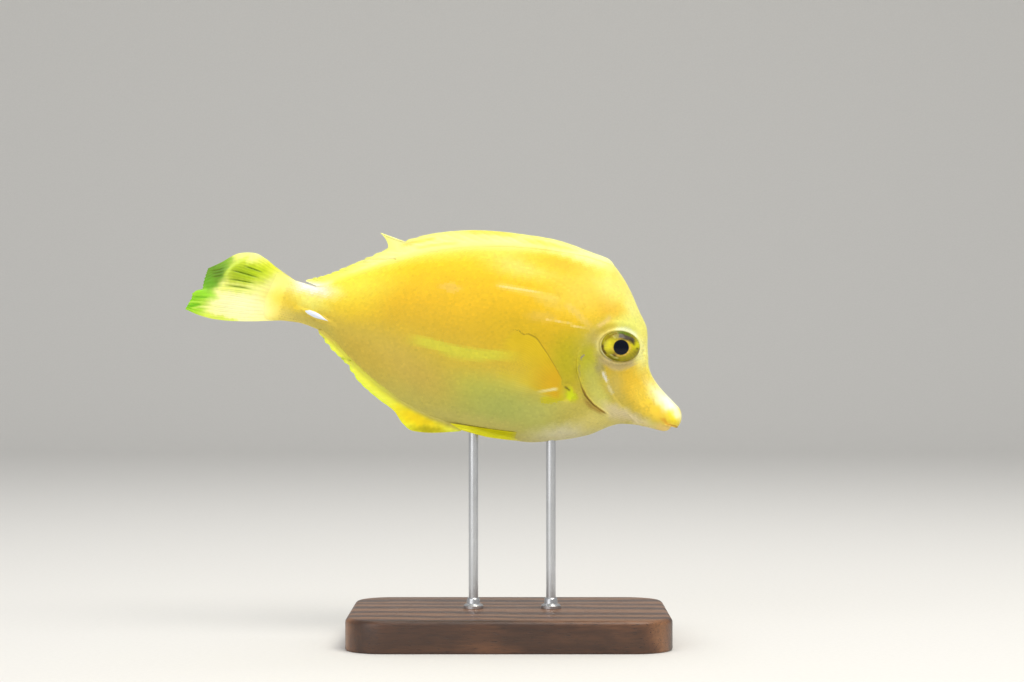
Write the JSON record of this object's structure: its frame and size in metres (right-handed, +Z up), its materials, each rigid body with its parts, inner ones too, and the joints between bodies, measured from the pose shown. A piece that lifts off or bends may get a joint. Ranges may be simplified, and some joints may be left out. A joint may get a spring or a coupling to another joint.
{
  "type": "yellow tang display model",
  "caption": "Life-size yellow tang with folded fins and curled tail lobe, nose slightly down, held above a flat wooden base by two upright metal rods.",
  "frame": {"origin": "centre of the stand base's underside, on the floor", "axes": "+X towards the fish's snout, +Y towards its left side, +Z up; the right side of the fish faces -Y"},
  "size_m": [0.1569, 0.07, 0.1294],
  "materials": {
    "skin": "bright yellow scaled skin, softly glossy, greener and paler on the belly",
    "fin": "thin rayed yellow fins with greenish see-through edges",
    "eye": "wet, clear-coated, gold iris with dark patches round a blue-black pupil",
    "spine": "smooth white blade",
    "stand_wood": "satin-oiled walnut",
    "stand_metal": "fine brushed"
  },
  "bodies": {
    "root": {"head": "skin", "lower_jaw": "skin", "trunk": "skin", "tail_stalk": "skin", "dorsal_fin": "fin", "anal_fin": "fin", "tail_fin": "fin", "pectoral_fin_left": "fin", "pectoral_fin_right": "fin", "pelvic_fin_left": "fin", "pelvic_fin_right": "fin", "eye_left": "eye", "eye_right": "eye", "tail_spine_left": "spine", "tail_spine_right": "spine", "stand_base": "stand_wood", "stand_rod_front": "stand_metal", "stand_rod_rear": "stand_metal"}
  },
  "joints": []
}
